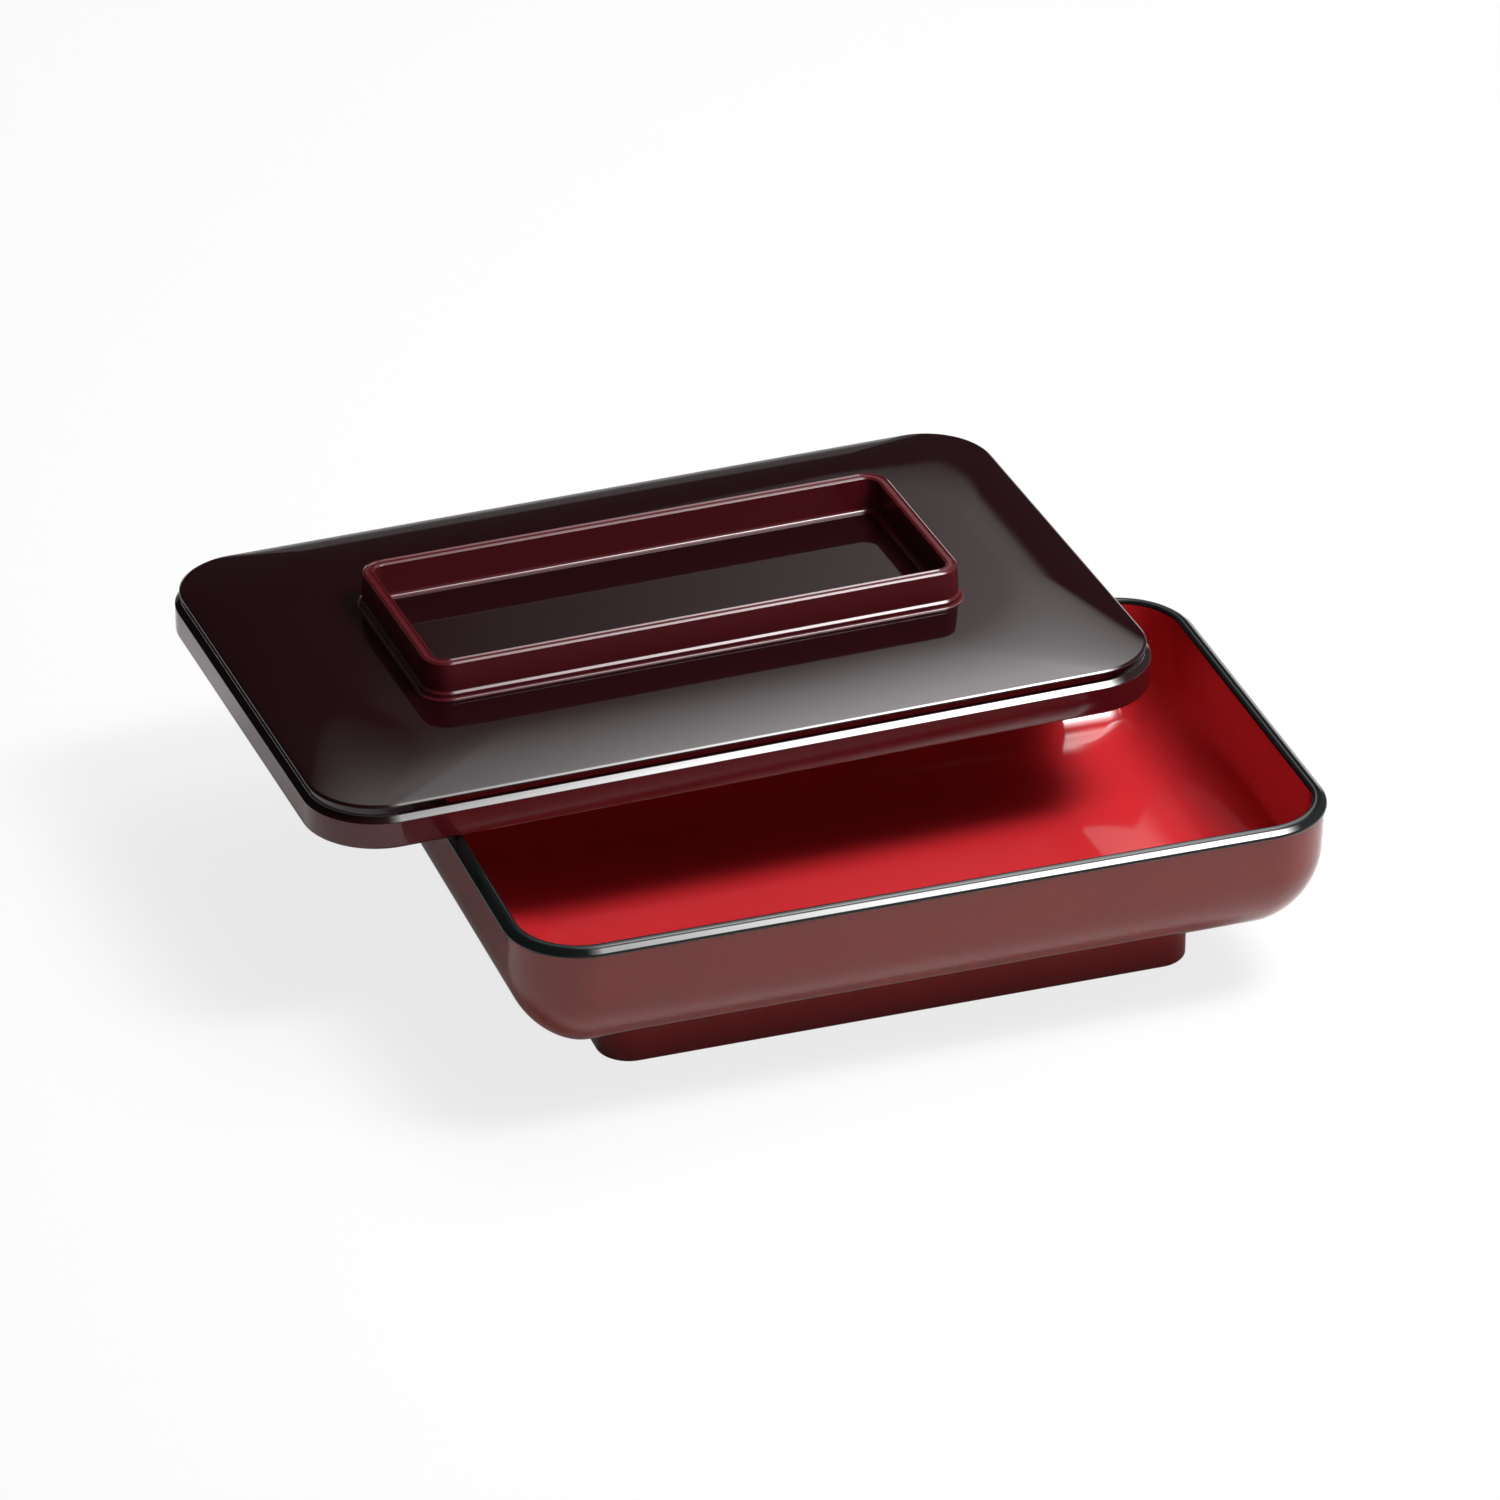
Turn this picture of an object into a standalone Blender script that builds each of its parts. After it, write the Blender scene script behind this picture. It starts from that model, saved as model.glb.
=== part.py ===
# Unagi box: an oblong lacquered box with sides that curve under to a low foot ring, and an
# overlapping lid with a raised finger ring, lying shifted and a little turned on the open box.
# Metres, +Z up. The origin is on the table, in the middle of the ground that the box and the
# shifted lid cover together.

import math

import bmesh
import bpy

# Box body, outside
RIM_LENGTH = 0.240
RIM_WIDTH = 0.1434
RIM_CORNER = 0.0221  # plan radius of the rim's corners
BOX_HEIGHT = 0.058  # table to rim
RIM_BAND = 0.0022  # height of the raised band round the rim
RIM_PROUD = 0.00055  # how far the band stands out from the wall
RIM_ROUND = 0.0010  # rounding of the rim's two upper edges
WALL_DEPTH = 0.0143  # rim top to where the side begins to curve under
WALL_LEAN = 0.00045  # how far the wall leans in over that depth
BOX_WALL = 0.0038
BOX_FLOOR = 0.0040

# Foot ring under the body
FOOT_LENGTH = 0.1748
FOOT_WIDTH = 0.0806
FOOT_HEIGHT = 0.0158  # table to the body's flat underside
FOOT_CORNER = 0.0096
FOOT_WALL = 0.0042
FOOT_EDGE = 0.0006
FOOT_INLAP = 0.0026  # the body's flat underside ends this far behind the foot's face

# Lid shell
LID_OVERHANG = 0.0066  # lid beyond the rim, on each side
LID_CORNER = 0.0218
SKIRT_HEIGHT = 0.0082  # lid's lower edge to the ledge
SKIRT_WALL = 0.0042
SKIRT_ROUND = 0.0009
LEDGE_INSET = 0.0018
LEDGE_RISE = 0.0014
STEP_LEAN = 0.0003  # how far the step above the ledge leans in
STEP_TOP = 0.01285  # lid's lower edge to the top of that step
ROLL_RUN = 0.0255  # width of the band inside the step where the top rolls off to its edge
ROLL_RISE = 0.0041
CROWN_RISE = 0.0002  # the nearly flat top inside that band still rises this much
LID_THICKNESS = 0.0030

# Finger ring on the lid
RING_LENGTH = 0.1618
RING_WIDTH = 0.0659
RING_HEIGHT = 0.0109  # above the lid's flat middle
RING_WALL = 0.0038
RING_CORNER = 0.0075
RING_EDGE = 0.0006
RING_MARGIN = 0.0012  # flat middle of the lid beyond the ring

# Where the lid lies on the open box, from the box's centre
LID_SHIFT_X = -0.0319
LID_SHIFT_Y = 0.0795
LID_TURN = math.radians(2.1)

TOUCH_GAP = 0.0003  # hairline left between pieces that touch

CORNER_STEPS = 8
CURVE_STEPS = 9
ROUND_STEPS = 3
CROWN_STEPS = 8
CROWN_SPACING = 1.6  # sections crowd towards the lid's edge
EDGE_STEPS = 2
SHADE_ANGLE = math.radians(35)  # sharper edges than this are shaded as creases
EDGE_ANGLE = math.radians(60)  # sharper edges than this on the rings are eased

RIM_X = RIM_LENGTH / 2
RIM_Y = RIM_WIDTH / 2
PANEL_X = FOOT_LENGTH / 2 - FOOT_INLAP  # half size of the body's flat underside and floor
PANEL_Y = FOOT_WIDTH / 2 - FOOT_INLAP
PANEL_CORNER = FOOT_CORNER - FOOT_INLAP
LID_X = RIM_X + LID_OVERHANG
LID_Y = RIM_Y + LID_OVERHANG
SEAT_X = RING_LENGTH / 2 + RING_MARGIN  # half size of the lid's flat middle
SEAT_Y = RING_WIDTH / 2 + RING_MARGIN
SEAT_HEIGHT = STEP_TOP + ROLL_RISE + CROWN_RISE


def rounded_outline(half_x, half_y, corner):
    """Points of an oblong with round corners, anticlockwise from its right side."""
    points = []
    for quarter, (side_x, side_y) in enumerate(((1, 1), (-1, 1), (-1, -1), (1, -1))):
        centre_x = side_x * (half_x - corner)
        centre_y = side_y * (half_y - corner)
        for step in range(CORNER_STEPS + 1):
            turn = math.pi / 2 * (quarter + step / CORNER_STEPS)
            points.append((centre_x + corner * math.cos(turn), centre_y + corner * math.sin(turn)))
    return points


def quarter_round(radius):
    """(how far in, how far below) along a rounded edge, from its side to its top."""
    turns = [math.pi / 2 * step / ROUND_STEPS for step in range(ROUND_STEPS + 1)]
    return [(radius * (1 - math.cos(turn)), radius * (1 - math.sin(turn))) for turn in turns]


def skin(bm, sections):
    """Joins oblong sections (half_x, half_y, corner, height) in turn, and returns their rings of points."""
    rings = []
    for half_x, half_y, corner, height in sections:
        outline = rounded_outline(half_x, half_y, corner)
        rings.append([bm.verts.new((x, y, height)) for x, y in outline])
    for lower, upper in zip(rings, rings[1:]):
        for here in range(len(lower)):
            after = (here + 1) % len(lower)
            bm.faces.new((lower[here], lower[after], upper[after], upper[here]))
    return rings


def add_piece(name, bm, material, place):
    """Turns the finished mesh into a named object that stands on its empty."""
    mesh = bpy.data.meshes.new(name)
    bm.to_mesh(mesh)
    bm.free()
    mesh.shade_smooth()
    mesh.set_sharp_from_angle(angle=SHADE_ANGLE)
    mesh.materials.append(material)
    piece = bpy.data.objects.new(name, mesh)
    piece.parent = place
    bpy.data.collections["unagi_box"].objects.link(piece)
    return piece


def add_shell(name, sections, material, place):
    """A hollow form: one skin that runs from the first flat end, round the lip, to the last."""
    bm = bmesh.new()
    rings = skin(bm, sections)
    bm.faces.new(reversed(rings[0]))
    bm.faces.new(rings[-1])
    add_piece(name, bm, material, place)


def add_ring(name, plan, heights, wall, edge, material, place):
    """An upright band bent to an oblong: an open strip, thickened inwards, with eased edges."""
    length, width, corner = plan
    bm = bmesh.new()
    skin(bm, [(length / 2, width / 2, corner, height) for height in heights])
    ring = add_piece(name, bm, material, place)
    solidify = ring.modifiers.new("wall", "SOLIDIFY")
    solidify.thickness = wall
    solidify.offset = -1
    solidify.use_even_offset = True
    bevel = ring.modifiers.new("eased_edges", "BEVEL")
    bevel.width = edge
    bevel.segments = EDGE_STEPS
    bevel.limit_method = "ANGLE"
    bevel.angle_limit = EDGE_ANGLE


def add_empty(name, location, turn=0):
    empty = bpy.data.objects.new(name, None)
    empty.location = location
    empty.rotation_euler.z = turn
    bpy.data.collections["unagi_box"].objects.link(empty)
    return empty


def lacquer(name, colour, roughness):
    material = bpy.data.materials.new(name)
    material.use_nodes = True
    shader = material.node_tree.nodes["Principled BSDF"]
    shader.inputs["Base Color"].default_value = (*colour, 1)
    shader.inputs["Roughness"].default_value = roughness
    shader.inputs["Metallic"].default_value = 0
    return material


def curved_side(half_x, half_y, top, bottom):
    """Sections below the wall, where the side curves in to the flat middle, from the top down."""
    sections = []
    for step in range(1, CURVE_STEPS + 1):
        turn = math.pi / 2 * step / CURVE_STEPS
        x = PANEL_X + (half_x - PANEL_X) * math.cos(turn)
        y = PANEL_Y + (half_y - PANEL_Y) * math.cos(turn)
        corner = max(RIM_CORNER - (RIM_X - x), PANEL_CORNER)
        sections.append((x, y, corner, top - (top - bottom) * math.sin(turn)))
    return sections


def rim_section(inset, height):
    return (RIM_X - inset, RIM_Y - inset, RIM_CORNER - inset, height)


def box_sections():
    """From the middle of the underside, up the outside, over the rim and down to the floor."""
    wall_foot = BOX_HEIGHT - WALL_DEPTH
    outer = RIM_PROUD + WALL_LEAN
    inner = outer + BOX_WALL
    rim_wall = RIM_PROUD + BOX_WALL

    outside = curved_side(RIM_X - outer, RIM_Y - outer, wall_foot, FOOT_HEIGHT)
    sections = list(reversed(outside))
    sections.append(rim_section(outer, wall_foot))
    sections.append(rim_section(RIM_PROUD, BOX_HEIGHT - RIM_BAND - RIM_PROUD))
    sections.append(rim_section(0, BOX_HEIGHT - RIM_BAND))
    edge = quarter_round(RIM_ROUND)
    sections += [rim_section(inset, BOX_HEIGHT - below) for inset, below in edge]
    sections += [rim_section(rim_wall - inset, BOX_HEIGHT - below) for inset, below in reversed(edge)]
    sections.append(rim_section(inner, wall_foot))
    sections += curved_side(RIM_X - inner, RIM_Y - inner, wall_foot, FOOT_HEIGHT + BOX_FLOOR)
    return sections


def lid_section(inset, height):
    return (LID_X - inset, LID_Y - inset, LID_CORNER - inset, height)


def crown(start, drop):
    """Sections over the lid's top, inwards from the inset start to the flat middle, this much lower."""
    edge = LEDGE_INSET + STEP_LEAN
    run_x = LID_X - edge - SEAT_X
    run_y = LID_Y - edge - SEAT_Y
    first = (start - edge) / run_y
    sections = []
    for step in range(CROWN_STEPS + 1):
        share = first + (1 - first) * (step / CROWN_STEPS) ** CROWN_SPACING
        rolled = max(1 - share * run_y / ROLL_RUN, 0)
        height = STEP_TOP + ROLL_RISE * (1 - rolled**2) + CROWN_RISE * (1 - (1 - share) ** 2)
        x = LID_X - edge - run_x * share
        y = LID_Y - edge - run_y * share
        sections.append((x, y, LID_CORNER - start, height - drop))
    return sections


def lid_sections():
    """From the middle of the underside, out and down inside the skirt, and up over the top."""
    edge = quarter_round(SKIRT_ROUND)
    sections = list(reversed(crown(SKIRT_WALL, LID_THICKNESS)))
    sections += [lid_section(SKIRT_WALL - inset, below) for inset, below in edge]
    sections += [lid_section(inset, below) for inset, below in reversed(edge)]
    sections.append(lid_section(0, SKIRT_HEIGHT))
    sections.append(lid_section(LEDGE_INSET, SKIRT_HEIGHT + LEDGE_RISE))
    sections += crown(LEDGE_INSET + STEP_LEAN, 0)
    return sections


def ground_centre():
    """Middle of the ground covered by the box and the turned lid, from the box's centre."""
    straight_x = LID_X - LID_CORNER
    straight_y = LID_Y - LID_CORNER
    along = abs(math.cos(LID_TURN))
    across = abs(math.sin(LID_TURN))
    reach_x = straight_x * along + straight_y * across + LID_CORNER
    reach_y = straight_x * across + straight_y * along + LID_CORNER
    low_x = min(-RIM_X, LID_SHIFT_X - reach_x)
    high_x = max(RIM_X, LID_SHIFT_X + reach_x)
    low_y = min(-RIM_Y, LID_SHIFT_Y - reach_y)
    high_y = max(RIM_Y, LID_SHIFT_Y + reach_y)
    return (low_x + high_x) / 2, (low_y + high_y) / 2


def clear_scene():
    for thing in list(bpy.data.objects):
        bpy.data.objects.remove(thing, do_unlink=True)
    for group in list(bpy.data.collections):
        bpy.data.collections.remove(group)
    group = bpy.data.collections.new("unagi_box")
    bpy.context.scene.collection.children.link(group)


def make_box(place):
    red_brown = lacquer("box_lacquer", (0.12, 0.028, 0.024), 0.12)
    maroon = lacquer("foot_lacquer", (0.055, 0.012, 0.012), 0.14)
    add_shell("box_shell", box_sections(), red_brown, place)
    plan = (FOOT_LENGTH, FOOT_WIDTH, FOOT_CORNER)
    heights = (0, FOOT_HEIGHT - TOUCH_GAP)
    add_ring("box_foot", plan, heights, FOOT_WALL, FOOT_EDGE, maroon, place)


def make_lid(place):
    dark_brown = lacquer("lid_lacquer", (0.030, 0.010, 0.010), 0.06)
    dark_red = lacquer("ring_lacquer", (0.050, 0.008, 0.010), 0.10)
    add_shell("lid_shell", lid_sections(), dark_brown, place)
    plan = (RING_LENGTH, RING_WIDTH, RING_CORNER)
    heights = (SEAT_HEIGHT + TOUCH_GAP, SEAT_HEIGHT + RING_HEIGHT)
    add_ring("lid_ring", plan, heights, RING_WALL, RING_EDGE, dark_red, place)


clear_scene()
middle_x, middle_y = ground_centre()
make_box(add_empty("box_place", (-middle_x, -middle_y, 0)))
lid_spot = (LID_SHIFT_X - middle_x, LID_SHIFT_Y - middle_y, BOX_HEIGHT + TOUCH_GAP)
make_lid(add_empty("lid_place", lid_spot, LID_TURN))
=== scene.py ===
# Unagi box: a long lacquered box for grilled eel on rice, red-brown outside and vermilion inside,
# with a black rim, and its dark lid lying askew on it, turned a little and pushed to the back left.
# Metres, +Z up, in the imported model's own frame. Sizes in the dictionaries of the pieces and of the
# lacquers are millimetres, and those of the stage, the lamps and the camera's place are metres.

import math

import bmesh
import bpy
from mathutils import Matrix, Vector


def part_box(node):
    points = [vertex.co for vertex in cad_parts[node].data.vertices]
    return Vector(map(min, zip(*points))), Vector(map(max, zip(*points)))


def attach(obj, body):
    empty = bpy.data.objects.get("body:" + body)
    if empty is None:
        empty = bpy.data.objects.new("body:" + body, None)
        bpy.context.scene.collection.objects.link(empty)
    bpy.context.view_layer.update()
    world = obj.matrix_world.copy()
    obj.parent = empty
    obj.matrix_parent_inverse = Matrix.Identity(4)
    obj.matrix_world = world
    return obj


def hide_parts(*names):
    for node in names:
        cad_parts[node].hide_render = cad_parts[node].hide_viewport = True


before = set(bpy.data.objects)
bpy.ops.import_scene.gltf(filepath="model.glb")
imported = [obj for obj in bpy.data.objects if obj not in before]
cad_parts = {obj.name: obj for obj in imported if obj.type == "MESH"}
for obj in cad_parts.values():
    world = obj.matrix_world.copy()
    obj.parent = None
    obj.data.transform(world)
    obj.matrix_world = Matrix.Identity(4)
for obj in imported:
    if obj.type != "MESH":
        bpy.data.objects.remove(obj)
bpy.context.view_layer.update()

# Drawing by oblong outlines: rectangles with round corners

mm = 0.001
cornerSegments = 20  # edges round each quarter corner
placeError = 0.00001  # points this close to an outline belong to it
drawHeight = 1.0  # where the first outline of a piece is drawn
drawSpacing = 0.05  # how far above it each next one is
straightBend = 1.0  # degrees: a profile's bends below this get no arc
fewestSteps = 2  # edges in the shortest arc
smoothAngle = 32.0  # degrees: edges sharper than this stay sharp


def addOblong(halfX, halfY, corner, height):
    # a plane as large as the outline, its corners rounded, and only its edges kept
    bpy.ops.mesh.primitive_plane_add(size=1, location=(0, 0, height))
    bpy.ops.transform.resize(value=(2 * halfX, 2 * halfY, 1), center_override=(0, 0, height))
    bpy.ops.mesh.bevel(offset=corner, segments=cornerSegments, affect="VERTICES")
    bpy.ops.mesh.delete(type="ONLY_FACE")


def howFarIn(point, halfX, halfY, corner):
    # distance from the outline in towards the middle, below zero outside it
    pastX = abs(point.x) - (halfX - corner)
    pastY = abs(point.y) - (halfY - corner)
    return corner - math.hypot(max(pastX, 0), max(pastY, 0)) - min(max(pastX, pastY), 0)


def onOblong(point, outline):
    halfX, halfY, corner, height = outline
    if abs(point.z - height) > placeError:
        return False
    return abs(howFarIn(point, halfX, halfY, corner)) < placeError


def selectOblongs(*outlines):
    bpy.ops.mesh.select_all(action="DESELECT")
    mesh = bmesh.from_edit_mesh(bpy.context.object.data)
    for vertex in mesh.verts:
        if any(onOblong(vertex.co, outline) for outline in outlines):
            vertex.select_set(True)
    mesh.select_flush(True)
    bmesh.update_edit_mesh(bpy.context.object.data)


def buildFromOblongs(name, outlines, isBand=False):
    # a skin bridged from outline to outline; a band closes on itself, a shell gets two flat ends.
    # They are drawn far apart in height, bridged, and then let down into place, because two
    # outlines on one level would bridge crosswise.
    bpy.ops.mesh.primitive_plane_add(size=1)
    piece = bpy.context.object
    piece.name = name
    piece.data.name = name
    bpy.ops.object.mode_set(mode="EDIT")
    bpy.ops.mesh.select_mode(type="VERT")
    bpy.ops.mesh.delete(type="VERT")
    raised = [(*outline[:3], drawHeight + number * drawSpacing)
              for number, outline in enumerate(outlines)]
    for outline in raised:
        addOblong(*outline)
    pairs = list(zip(raised, raised[1:]))
    if isBand:
        pairs.append((raised[-1], raised[0]))
    for here, after in pairs:
        selectOblongs(here, after)
        bpy.ops.mesh.bridge_edge_loops()
    if not isBand:
        for end in (raised[0], raised[-1]):
            selectOblongs(end)
            bpy.ops.mesh.edge_face_add()
    for high, outline in zip(raised, outlines):
        selectOblongs(high)
        bpy.ops.transform.translate(value=(0, 0, outline[3] - high[3]))
    bpy.ops.mesh.select_all(action="SELECT")
    bpy.ops.mesh.normals_make_consistent(inside=False)
    bpy.ops.object.mode_set(mode="OBJECT")
    return piece


def insetOutline(look, inset, height):
    # a piece's outline, drawn in by the inset; from millimetres to metres
    return ((look["halfX"] - inset) * mm, (look["halfY"] - inset) * mm,
            (look["corner"] - inset) * mm, height * mm)


def selectOnly(piece):
    bpy.ops.object.select_all(action="DESELECT")
    piece.select_set(True)
    bpy.context.view_layer.objects.active = piece


def placePiece(piece, place, turn=0.0):
    # the place goes into the mesh, so that the object itself stays at the origin, unturned
    piece.location = place
    piece.rotation_euler.z = turn
    selectOnly(piece)
    bpy.ops.object.transform_apply(location=True, rotation=True, scale=True)


def smoothPiece(piece):
    selectOnly(piece)
    bpy.ops.object.shade_smooth_by_angle(angle=math.radians(smoothAngle))
    weighted = piece.modifiers.new("faceWeights", "WEIGHTED_NORMAL")
    weighted.keep_sharp = True
    bpy.ops.object.modifier_apply(modifier=weighted.name)


def assignWhere(piece, material, test):
    # the faces whose middle and normal pass the test get that material, one of the piece's own
    selectOnly(piece)
    bpy.ops.object.mode_set(mode="EDIT")
    bpy.ops.mesh.select_mode(type="FACE")
    bpy.ops.mesh.select_all(action="DESELECT")
    mesh = bmesh.from_edit_mesh(piece.data)
    for face in mesh.faces:
        if test(face.calc_center_median(), face.normal):
            face.select_set(True)
    bmesh.update_edit_mesh(piece.data)
    piece.active_material_index = piece.data.materials.find(material.name)
    bpy.ops.object.material_slot_assign()
    bpy.ops.mesh.select_mode(type="VERT")
    bpy.ops.object.mode_set(mode="OBJECT")


def roundedProfile(corners, stepAngle):
    # corners are (how far in, how high, radius); each bend becomes an arc of edges that turn by
    # the step angle at most, in degrees, and the two ends stay
    places = [Vector(corner[:2]) for corner in corners]
    profile = [tuple(places[0])]
    radii = [corner[2] for corner in corners[1:]]
    for before, middle, radius, after in zip(places, places[1:], radii, places[2:]):
        toBefore = (before - middle).normalized()
        toAfter = (after - middle).normalized()
        opening = toBefore.angle(toAfter)
        bend = math.pi - opening
        if radius <= 0 or bend < math.radians(straightBend):
            profile.append(tuple(middle))
            continue
        reach = radius / math.tan(opening / 2)
        centre = middle + (toBefore + toAfter).normalized() * (radius / math.sin(opening / 2))
        start = middle + toBefore * reach - centre
        steps = max(fewestSteps, math.ceil(math.degrees(bend) / stepAngle))
        way = 1 if toBefore.x * toAfter.y - toBefore.y * toAfter.x < 0 else -1
        for step in range(steps + 1):
            turned = Matrix.Rotation(way * bend * step / steps, 2) @ start
            profile.append(tuple(centre + turned))
    profile.append(tuple(places[-1]))
    return profile


# Materials

# the mix node's colour sockets: two colours in, one out
mixFirst = 6
mixSecond = 7
mixResult = 2


def colour(hexCode):
    # sRGB hex to the linear values that the shaders take
    channels = [int(hexCode[place:place + 2], 16) / 255 for place in (1, 3, 5)]
    linear = [c / 12.92 if c <= 0.04045 else ((c + 0.055) / 1.055) ** 2.4 for c in channels]
    return (*linear, 1.0)


def addNode(tree, kind, settings=None, links=None):
    # one node, with its settings (a property, or an input's name or number) and its inputs' links
    node = tree.nodes.new(kind)
    for key, value in (settings or {}).items():
        if isinstance(key, str) and hasattr(node, key):
            setattr(node, key, value)
        else:
            node.inputs[key].default_value = value
    for key, source in (links or {}).items():
        tree.links.new(source, node.inputs[key])
    return node


def lacquerMaterial(name, look):
    # sprayed lacquer: a smooth, hard film with a faint orange-peel ripple, polished to a mirror
    material = bpy.data.materials.new(name)
    material.use_nodes = True
    tree = material.node_tree
    shader = tree.nodes["Principled BSDF"]
    shader.inputs["Metallic"].default_value = 0.0
    shader.inputs["IOR"].default_value = look["ior"]
    where = addNode(tree, "ShaderNodeTexCoord").outputs["Object"]
    # slow clouding of the colour, where the film is a little thicker or thinner
    clouds = addNode(tree, "ShaderNodeTexNoise",
                     {"Scale": 1 / (look["cloudSize"] * mm), "Detail": look["cloudDetail"]},
                     {"Vector": where})
    tint = addNode(tree, "ShaderNodeMix",
                   {"data_type": "RGBA", mixFirst: colour(look["deep"]), mixSecond: colour(look["thin"])},
                   {"Factor": clouds.outputs["Fac"]})
    tree.links.new(tint.outputs[mixResult], shader.inputs["Base Color"])
    # handling leaves the gloss slightly uneven
    smudges = addNode(tree, "ShaderNodeTexNoise",
                      {"Scale": 1 / (look["smudgeSize"] * mm), "Detail": look["smudgeDetail"]},
                      {"Vector": where})
    gloss = addNode(tree, "ShaderNodeMapRange",
                    {"From Min": look["smudgeFrom"], "From Max": look["smudgeTo"],
                     "To Min": look["roughness"], "To Max": look["roughness"] + look["smudge"]},
                    {"Value": smudges.outputs["Fac"]})
    tree.links.new(gloss.outputs["Result"], shader.inputs["Roughness"])
    # orange peel: ripples a few millimetres long and a few thousandths high
    ripple = addNode(tree, "ShaderNodeTexNoise",
                     {"Scale": 1 / (look["rippleSize"] * mm), "Detail": look["rippleDetail"]},
                     {"Vector": where})
    bump = addNode(tree, "ShaderNodeBump", {"Strength": 1.0, "Distance": look["rippleHeight"] * mm},
                   {"Height": ripple.outputs["Fac"]})
    tree.links.new(bump.outputs["Normal"], shader.inputs["Normal"])
    return material


lacquerBase = {
    "ior": 1.5, "cloudSize": 30, "cloudDetail": 3.0,
    "roughness": 0.045, "smudge": 0.03, "smudgeSize": 35, "smudgeDetail": 5.0,
    "smudgeFrom": 0.35, "smudgeTo": 0.75,  # noise at which the gloss starts and stops falling
    "rippleSize": 4.0, "rippleDetail": 1.0, "rippleHeight": 0.004,  # orange peel
}


def lacquer(name, deep, thin):
    return lacquerMaterial(name, {**lacquerBase, "deep": deep, "thin": thin})


brownLacquer = lacquer("redBrownUrethaneLacquer", "#68140b", "#74190e")  # body outside, opaque brown
vermilionLacquer = lacquer("vermilionShuLacquer", "#b8242a", "#c0292e")  # body inside, full warm red
blackLacquer = lacquer("blackRoiroRimLacquer", "#0b0e0e", "#101414")  # rim, a black mirror line
tameLacquer = lacquer("darkTameLacquer", "#170406", "#1c0508")  # lid, nearly black with a red tinge
paintedLightSideLacquer = lacquer("paintedLightSideTameLacquer", "#480f15", "#511319")  # skirt and ring: the lid's lacquer painted lighter and redder, painted light for their upright faces
paintedLightFootLacquer = lacquer("paintedLightFootBrownLacquer", "#7c1416", "#86181a")  # foot ring: the body's brown painted brighter and redder, painted light for the shade under the body
print("materials made")


# Box body

boxLook = {
    "halfX": 120.0, "halfY": 71.7, "corner": 22.1, "height": 58.0,  # round the rim
    "bandHeight": 2.2, "bandProud": 0.55, "bandFillet": 0.4, "bandRound": 0.2,  # its raised band
    "topRound": 1.2, "topWidth": 1.75, "topSlant": 4.0,  # its top in three slopes, from inside out
    "midRound": 2.5, "midWidth": 0.9, "midSlant": 20.0,
    "faceRound": 2.5, "faceSlant": 36.0, "outerRound": 0.85, "stepAngle": 6,
    "wallDepth": 14.3, "wallLean": 0.45, "wall": 3.8,  # upright part of the walls
    "panelX": 84.8, "panelY": 37.7, "panelCorner": 7.0,  # half sizes of the flat bottom
    "underside": 15.8, "floor": 19.8,  # heights of its two faces
    "curveSteps": 48, "outerCurve": 1.0, "innerCurve": 0.84,  # between walls and bottom
    "blackDepth": 1.35, "blackOutside": 2.15, "facingUp": 0.3,  # how far down the rim's black goes
}


def curvedSide(look, halfX, halfY, top, bottom, power):
    # outlines from the wall, round an elliptical curve, to the flat bottom; a power below one
    # tightens the curve
    outlines = []
    for step in range(1, look["curveSteps"] + 1):
        turn = math.pi / 2 * step / look["curveSteps"]
        reach = max(math.cos(turn), 0) ** power
        x = look["panelX"] + (halfX - look["panelX"]) * reach
        y = look["panelY"] + (halfY - look["panelY"]) * reach
        corner = max(look["corner"] - (look["halfX"] - x), look["panelCorner"])
        height = top - (top - bottom) * math.sin(turn) ** power
        outlines.append((x * mm, y * mm, corner * mm, height * mm))
    return outlines


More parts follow.
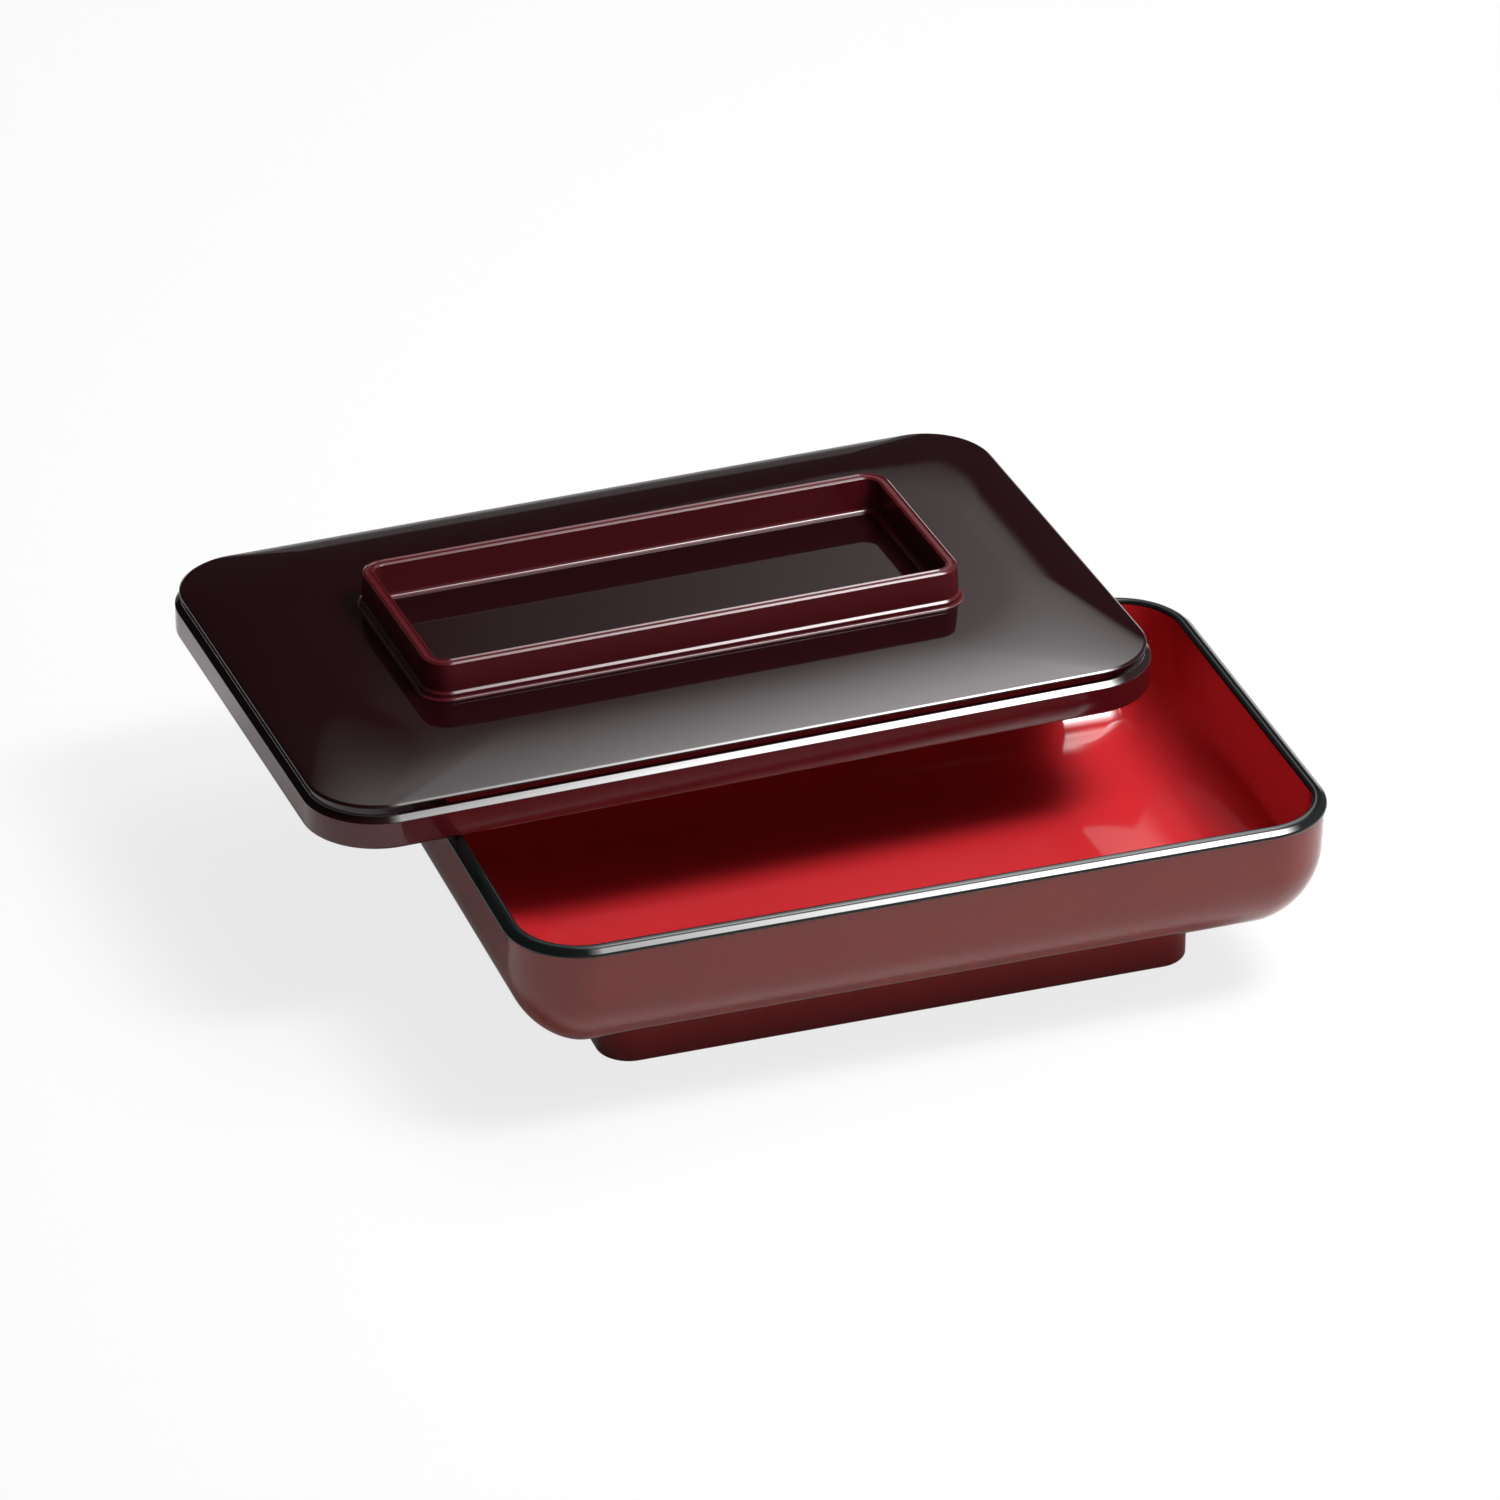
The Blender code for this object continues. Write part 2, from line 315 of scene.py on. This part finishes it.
def makeBoxShell(look):
    wallFoot = look["height"] - look["wallDepth"]
    outer = look["bandProud"] + look["wallLean"]
    inner = outer + look["wall"]
    rimInner = look["bandProud"] + look["wall"]
    bandLow = look["height"] - look["bandHeight"]
    outside = curvedSide(look, look["halfX"] - outer, look["halfY"] - outer, wallFoot, look["underside"],
                         look["outerCurve"])
    # the rim's top falls away outward, more and more; its highest point is on the inner rounding
    slants = [math.tan(math.radians(look[name])) for name in ("topSlant", "midSlant", "faceSlant")]
    innerTop = look["height"] + look["topRound"] * (math.hypot(1, slants[0]) - 1 + slants[0])
    topEnd = innerTop - look["topWidth"] * slants[0]
    midEnd = topEnd - look["midWidth"] * slants[1]
    faceWidth = rimInner - look["topWidth"] - look["midWidth"]
    rimProfile = roundedProfile([
        (outer, wallFoot, 0),
        (look["bandProud"], bandLow - look["bandProud"], look["bandFillet"]),
        (0, bandLow, look["bandRound"]),
        (0, midEnd - faceWidth * slants[2], look["outerRound"]),
        (faceWidth, midEnd, look["faceRound"]),
        (rimInner - look["topWidth"], topEnd, look["midRound"]),
        (rimInner, innerTop, look["topRound"]),
        (inner, wallFoot, 0),
    ], look["stepAngle"])
    inside = curvedSide(look, look["halfX"] - inner, look["halfY"] - inner, wallFoot, look["floor"],
                        look["innerCurve"])
    rim = [insetOutline(look, *point) for point in rimProfile]
    shell = buildFromOblongs("boxShell", list(reversed(outside)) + rim + inside)
    for material in (brownLacquer, vermilionLacquer, blackLacquer):
        shell.data.materials.append(material)
    black = (look["height"] - look["blackDepth"]) * mm
    blackOutside = (look["height"] - look["blackOutside"]) * mm
    rimSizes = insetOutline(look, 0, 0)[:3]

    def isInside(middle, normal):
        # inside faces look up or towards the middle
        towardMiddle = normal.x * middle.x + normal.y * middle.y < 0
        pastRim = howFarIn(middle, *rimSizes) > rimInner * mm
        return towardMiddle or (pastRim and normal.z > look["facingUp"] and middle.z < black)

    def isRim(middle, normal):
        # the black reaches further down on the outside
        outerHalf = howFarIn(middle, *rimSizes) < rimInner / 2 * mm
        return middle.z > black or (outerHalf and middle.z > blackOutside)

    assignWhere(shell, vermilionLacquer, isInside)
    assignWhere(shell, blackLacquer, isRim)
    return shell


boxLow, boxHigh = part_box("box_shell")
boxMiddle = Vector(((boxLow.x + boxHigh.x) / 2, (boxLow.y + boxHigh.y) / 2, 0))
boxShell = makeBoxShell(boxLook)
placePiece(boxShell, boxMiddle)
smoothPiece(boxShell)
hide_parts("box_shell")
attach(boxShell, "box")
print("box shell made:", len(boxShell.data.polygons), "faces")


# Foot ring under the body

footLook = {"halfX": 87.4, "halfY": 40.3, "corner": 9.6, "height": 15.8, "wall": 4.2,
            "edge": 0.7, "sunk": 0.15, "stepAngle": 15}


def makeBand(name, look, corners):
    # the corners go once round the band's section and end where they start
    profile = roundedProfile(corners, look["stepAngle"])[:-1]
    return buildFromOblongs(name, [insetOutline(look, *point) for point in profile], isBand=True)


def makeBoxFoot(look):
    # its top is sunk a little into the body, and its outer face is drawn in two halves
    wall = look["wall"]
    top = look["height"] + look["sunk"]
    half = look["height"] / 2
    foot = makeBand("boxFoot", look, [
        (0, half, 0),
        (0, 0, look["edge"]),
        (wall, 0, look["edge"]),
        (wall, top, 0),
        (0, top, 0),
        (0, half, 0),
    ])
    # the foot takes the body's lacquer painted lighter, as painted light for the shade it stands in
    foot.data.materials.append(paintedLightFootLacquer)
    return foot


boxFoot = makeBoxFoot(footLook)
placePiece(boxFoot, boxMiddle)
smoothPiece(boxFoot)
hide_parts("box_foot")
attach(boxFoot, "box")
print("foot made:", len(boxFoot.data.polygons), "faces")


# Lid

lidLook = {
    "halfX": 126.6, "halfY": 78.3, "corner": 21.8, "turn": 2.1,  # turn in degrees
    "skirt": 8.2, "skirtWall": 4.2, "lipRound": 0.9,
    "ledgeInset": 1.86, "ledgeRise": 1.42, "ledgeBulge": 0.01, "ledgeRound": 1.5,
    "stepLean": 0.58, "stepTop": 12.44, "stepRound": 0.5, "creaseRound": 0.35,
    "facetIn": 0.8, "facetUp": 0.58, "facetRound": 0.7, "leadIn": 2.0, "leadUp": 0.61, "stepAngle": 8,
    "rollRun": 25.5, "rollRise": 3.93, "crownRise": 0.2,  # the top's rolled-off band
    "seatX": 82.1, "seatY": 34.15, "seatCorner": 33.0, "cornerEase": 44.0,  # its flat middle
    "thickness": 3.0, "topSteps": 26, "topSpacing": 1.5, "topGap": 0.15,
    "wallMargin": 0.4, "facingDown": -0.2,  # what counts as the lid's hollow
}


def lidTop(look, start, drop):
    # outlines over the top, from the step in to the flat middle: a rolled-off band, then nearly flat
    edge = look["ledgeInset"] - look["stepLean"] + look["facetIn"]
    edgeHeight = look["stepTop"] + look["facetUp"]
    runX = look["halfX"] - edge - look["seatX"]
    runY = look["halfY"] - edge - look["seatY"]
    first = (start - edge) / runY
    outlines = []
    for step in range(look["topSteps"] + 1):
        share = first + (1 - first) * (step / look["topSteps"]) ** look["topSpacing"]
        rolled = max(1 - share * runY / look["rollRun"], 0)
        height = (edgeHeight + look["rollRise"] * (1 - rolled ** 2)
                  + look["crownRise"] * (1 - (1 - share) ** 2) - drop)
        # the corners open out over the rolled-off band, so that its shading turns slowly
        corner = ((look["corner"] - edge) * (1 - share) + look["seatCorner"] * share
                  + look["cornerEase"] * share * (1 - share))
        outlines.append(((look["halfX"] - edge - runX * share) * mm,
                         (look["halfY"] - edge - runY * share) * mm,
                         corner * mm, height * mm))
    return outlines


def makeLidShell(look):
    underside = list(reversed(lidTop(look, look["skirtWall"], look["thickness"])))
    ledge = look["ledgeInset"]
    rise = look["ledgeRise"]
    bulge = look["ledgeBulge"]
    step = ledge - look["stepLean"]  # the step leans out a little over the ledge
    edge = step + look["facetIn"]
    edgeHeight = look["stepTop"] + look["facetUp"]
    # the first point only leads in to the lip's inner rounding, and the last one, a little way up
    # the top, out of the facet's
    profile = roundedProfile([
        (look["skirtWall"], look["skirt"], 0),
        (look["skirtWall"], 0, look["lipRound"]),
        (0, 0, look["lipRound"]),
        (0, look["skirt"], look["creaseRound"]),
        (ledge / 2 - bulge, look["skirt"] + rise / 2 + bulge, look["ledgeRound"]),
        (ledge, look["skirt"] + rise, look["creaseRound"]),
        (step, look["stepTop"], look["stepRound"]),
        (edge, edgeHeight, look["facetRound"]),
        (edge + look["leadIn"], edgeHeight + look["leadUp"], 0),
    ], look["stepAngle"])[1:-1]
    # the rolled-off top starts where the facet's rounding ends
    topStart = (look["halfX"] - profile[-1][0] - look["topGap"]) * mm
    top = [outline for outline in lidTop(look, edge, 0) if outline[0] < topStart]
    sides = [insetOutline(look, *point) for point in profile]
    lid = buildFromOblongs("lidShell", underside + sides + top)
    for material in (tameLacquer, paintedLightSideLacquer):
        lid.data.materials.append(material)
    skirtTop = look["skirt"] * mm
    insideX = (look["halfX"] - look["skirtWall"] + look["wallMargin"]) * mm
    insideY = (look["halfY"] - look["skirtWall"] + look["wallMargin"]) * mm

    def isSkirt(middle, normal):
        # all below the ledge, but not the lid's hollow
        within = abs(middle.x) < insideX and abs(middle.y) < insideY
        towardMiddle = normal.x * middle.x + normal.y * middle.y < 0
        inHollow = within and (normal.z < look["facingDown"] or towardMiddle)
        return middle.z < skirtTop and not inHollow

    # the skirt gets the lid's lacquer painted lighter, painted light for its upright faces
    assignWhere(lid, paintedLightSideLacquer, isSkirt)
    return lid


ringLook = {
    "halfX": 80.9, "halfY": 32.95, "corner": 7.5, "wall": 3.8, "height": 10.9,
    "leanFrom": 5.5, "lean": 0.42, "leanRound": 30.0,  # its outer face leans in higher up
    "facetIn": 0.65, "facetDown": 0.47, "beadTop": 0.68, "beadFoot": 1.15, "groove": 0.34,  # its top
    "soften": 0.2, "footProud": 0.75, "footHigh": 1.6, "footTaper": 0.55,  # its low moulding
    "fillet": 0.8, "innerFillet": 1.5, "filletEdge": 0.1, "sunk": 0.1, "stepAngle": 12,
}


def makeLidRing(look):
    # its top is a shallow groove between two slim beads, and its outer foot stands out a little
    wall = look["wall"]
    top = look["height"]
    soft = look["soften"]
    sunk = look["sunk"]
    proud = look["footProud"]
    outerEnd = -proud - look["fillet"] - look["filletEdge"]
    innerEnd = wall + look["innerFillet"] + look["filletEdge"]
    edge = [
        (0, top - look["facetDown"], soft),
        (look["facetIn"], top, soft),
        (look["beadTop"], top, soft),
        (look["beadFoot"], top - look["groove"], soft / 2),
    ]
    outerEdge = [(inset + look["lean"], height, radius) for inset, height, radius in edge]
    innerEdge = [(wall - inset, height, radius) for inset, height, radius in reversed(edge)]
    ring = makeBand("lidRing", look, [
        (wall / 2, -sunk, 0),
        (outerEnd, -sunk, 0),
        (outerEnd, 0, 0),
        (-proud, 0, look["fillet"]),
        (-proud, look["footHigh"], soft),
        (0, look["footHigh"] + look["footTaper"], soft),
        (0, look["leanFrom"], look["leanRound"]),
        *outerEdge,
        *innerEdge,
        (wall, 0, look["innerFillet"]),
        (innerEnd, 0, 0),
        (innerEnd, -sunk, 0),
        (wall / 2, -sunk, 0),
    ])
    # the ring gets the lid's lacquer painted lighter, painted light for its upright faces
    ring.data.materials.append(paintedLightSideLacquer)
    return ring


lidLow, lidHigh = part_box("lid_shell")
lidMiddle = Vector(((lidLow.x + lidHigh.x) / 2, (lidLow.y + lidHigh.y) / 2, lidLow.z))
lidTurn = math.radians(lidLook["turn"])
lidShell = makeLidShell(lidLook)
placePiece(lidShell, lidMiddle, lidTurn)
smoothPiece(lidShell)
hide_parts("lid_shell")
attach(lidShell, "lid")

lidRing = makeLidRing(ringLook)
placePiece(lidRing, Vector((lidMiddle.x, lidMiddle.y, lidHigh.z)), lidTurn)
smoothPiece(lidRing)
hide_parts("lid_ring")
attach(lidRing, "lid")
print("lid made:", len(lidShell.data.polygons) + len(lidRing.data.polygons), "faces")


# Stage

# shown and mirrored are how much of the white is an even glow, to the camera and in reflections
stageLook = {"radius": 12.0, "sides": 96, "wallHeight": 1.4, "matt": "#e2e2e2",
             "shown": 0.8, "floorMirrored": 0.1, "wallMirrored": 0.04}


def paleMaterial(name, look, mirrored):
    # a matt white that shows pale to the camera and in gloss, and still takes the shadow
    material = bpy.data.materials.new(name)
    material.use_nodes = True
    tree = material.node_tree
    tree.nodes.remove(tree.nodes["Principled BSDF"])
    rays = addNode(tree, "ShaderNodeLightPath")
    matt = addNode(tree, "ShaderNodeBsdfDiffuse", {"Color": colour(look["matt"])})
    glow = addNode(tree, "ShaderNodeEmission", {"Color": (1, 1, 1, 1), "Strength": 1.0})
    isGloss = addNode(tree, "ShaderNodeMath", {"operation": "MAXIMUM"},
                      {0: rays.outputs["Is Glossy Ray"], 1: rays.outputs["Is Transmission Ray"]})
    inGloss = addNode(tree, "ShaderNodeMath", {"operation": "MULTIPLY", 1: mirrored},
                      {0: isGloss.outputs[0]})
    seen = addNode(tree, "ShaderNodeMath", {"operation": "MULTIPLY", 1: look["shown"]},
                   {0: rays.outputs["Is Camera Ray"]})
    share = addNode(tree, "ShaderNodeMath", {"operation": "ADD"},
                    {0: inGloss.outputs[0], 1: seen.outputs[0]})
    mix = addNode(tree, "ShaderNodeMixShader", None,
                  {0: share.outputs[0], 1: matt.outputs[0], 2: glow.outputs[0]})
    tree.links.new(mix.outputs[0], tree.nodes["Material Output"].inputs["Surface"])
    return material


def makeStage(look):
    bpy.ops.mesh.primitive_circle_add(vertices=look["sides"], radius=look["radius"], fill_type="NGON")
    floor = bpy.context.object
    floor.name = "floor"
    floor.data.materials.append(paleMaterial("paleFloor", look, look["floorMirrored"]))
    bpy.ops.mesh.primitive_cylinder_add(vertices=look["sides"], radius=look["radius"],
                                        depth=look["wallHeight"], end_fill_type="NOTHING",
                                        location=(0, 0, look["wallHeight"] / 2))
    wall = bpy.context.object
    wall.name = "backdrop"
    wall.data.materials.append(paleMaterial("paleBackdrop", look, look["wallMirrored"]))


makeStage(stageLook)


# Light: two soft boxes high on the right, a wide fading sheet behind them, a dim cloth over the
# back, and a dim room

# along and across are the directions of a lamp's two sizes; centre is where its brightest spot
# lies from its middle, which may be past its frame; hot is how wide that spot is, and peak is its
# radiance
softBoxLook = {"place": (0.48, -0.32, 1.0), "size": (1.1, 0.66), "hot": (0.64, 0.42), "falloff": 8.0,
               "along": (1, 0, 0), "across": (0, 1, 0), "centre": (0, 0), "peak": 46.0}
stripLook = {"place": (0.3, 0.17, 1.0), "size": (0.8, 0.32), "hot": (0.45, 0.17), "falloff": 8.0,
             "along": (1, 0, 0), "across": (0, 1, 0), "centre": (0, 0), "peak": 8.0}
sheetLook = {"place": (0.85, 2.158, 1.629), "size": (1.5, 4.62), "hot": (0.40, 2.1), "falloff": 2.3,
             "along": (0.555, 0.0, -0.832), "across": (0.263, 0.949, 0.175), "centre": (0.19, -3.46),
             "peak": 18.0}
clothLook = {"place": (0.1, 1.1, 1.5), "size": (1.2, 2.2), "hot": (0.35, 0.55), "falloff": 2.0,
             "along": (1, 0, 0), "across": (0, 1, 0), "centre": (0, 0), "peak": 1.1}
frameFade = 0.12  # share of a lamp's width over which it fades out at either end


def makeLamp(name, look):
    # a lamp behind a diffusing cloth: brightest round its hot centre, fading out towards its edges
    lamp = bpy.data.lights.new(name, "AREA")
    lamp.shape = "RECTANGLE"
    lamp.size, lamp.size_y = look["size"]
    # radiance of a rectangular lamp is energy / (pi * area)
    lamp.energy = look["peak"] * math.pi * lamp.size * lamp.size_y
    lamp.use_nodes = True
    tree = lamp.node_tree
    spot = addNode(tree, "ShaderNodeNewGeometry").outputs["Parametric"]
    axes = addNode(tree, "ShaderNodeSeparateXYZ", None, {0: spot})
    one = addNode(tree, "ShaderNodeValue")
    one.outputs[0].default_value = 1.0
    total = one
    ends = one
    for axis, size, hot, centre in zip("XY", look["size"], look["hot"], look["centre"]):
        # how far from the hot centre, in hot widths; the squares of both axes are added to one
        scaled = addNode(tree, "ShaderNodeMapRange",
                         {"clamp": False, "To Min": (-size / 2 - centre) / hot,
                          "To Max": (size / 2 - centre) / hot},
                         {"Value": axes.outputs[axis]})
        total = addNode(tree, "ShaderNodeMath", {"operation": "MULTIPLY_ADD"},
                        {0: scaled.outputs[0], 1: scaled.outputs[0], 2: total.outputs[0]})
        # and nothing at the frame: zero at both ends of the axis, one over most of it
        fromEnd = addNode(tree, "ShaderNodeMath", {"operation": "PINGPONG", 1: 0.5},
                          {0: axes.outputs[axis]})
        end = addNode(tree, "ShaderNodeMapRange",
                      {"interpolation_type": "SMOOTHSTEP", "From Max": frameFade},
                      {"Value": fromEnd.outputs[0]})
        ends = addNode(tree, "ShaderNodeMath", {"operation": "MULTIPLY"},
                       {0: end.outputs[0], 1: ends.outputs[0]})
    fade = addNode(tree, "ShaderNodeMath", {"operation": "POWER", 1: -look["falloff"]},
                   {0: total.outputs[0]})
    shown = addNode(tree, "ShaderNodeMath", {"operation": "MULTIPLY"},
                    {0: fade.outputs[0], 1: ends.outputs[0]})
    tree.links.new(shown.outputs[0], tree.nodes["Emission"].inputs["Strength"])
    panel = bpy.data.objects.new(name, lamp)
    bpy.context.scene.collection.objects.link(panel)
    along = Vector(look["along"]).normalized()
    across = Vector(look["across"]).normalized()
    panel.rotation_euler = Matrix((along, across, along.cross(across))).transposed().to_euler()
    panel.location = look["place"]
    panel.visible_camera = False


makeLamp("softBox", softBoxLook)
makeLamp("stripBox", stripLook)
makeLamp("farSheet", sheetLook)
makeLamp("dimCloth", clothLook)

# dark behind the box and lighter towards the front right; the two ends of the rise are cosines of
# the angle from that side
roomLook = {"dark": 0.035, "light": 0.45, "toward": (0.75, -0.66, 0.0), "darkUpTo": -0.2, "lightFrom": 0.9}


def makeRoom(look):
    world = bpy.data.worlds.new("room")
    bpy.context.scene.world = world
    world.use_nodes = True
    tree = world.node_tree
    direction = addNode(tree, "ShaderNodeTexCoord").outputs["Generated"]
    facing = addNode(tree, "ShaderNodeVectorMath", {"operation": "DOT_PRODUCT", 1: look["toward"]},
                     {0: direction})
    level = addNode(tree, "ShaderNodeMapRange",
                    {"interpolation_type": "SMOOTHSTEP", "From Min": look["darkUpTo"],
                     "From Max": look["lightFrom"], "To Min": look["dark"], "To Max": look["light"]},
                    {"Value": facing.outputs["Value"]})
    background = tree.nodes["Background"]
    background.inputs["Color"].default_value = (1, 1, 1, 1)
    tree.links.new(level.outputs["Result"], background.inputs["Strength"])


makeRoom(roomLook)


# Camera

# angles in degrees, lens and sensor in millimetres, all fitted to the photograph
cameraLook = {"place": (-0.688766, -2.032298, 1.274590), "turn": 18.816, "down": 29.862, "roll": 0.052,
              "lens": 208.57, "sensor": 36.0}


def makeCamera(look):
    data = bpy.data.cameras.new("camera")
    data.lens = look["lens"]
    data.sensor_width = look["sensor"]
    camera = bpy.data.objects.new("camera", data)
    bpy.context.scene.collection.objects.link(camera)
    camera.location = look["place"]
    turn = Matrix.Rotation(-math.radians(look["turn"]), 3, "Z")
    tilt = Matrix.Rotation(math.radians(90 - look["down"]), 3, "X")
    roll = Matrix.Rotation(math.radians(look["roll"]), 3, "Z")
    camera.rotation_euler = (turn @ tilt @ roll).to_euler()
    bpy.context.scene.camera = camera


makeCamera(cameraLook)
bpy.context.scene.view_settings.view_transform = "Standard"
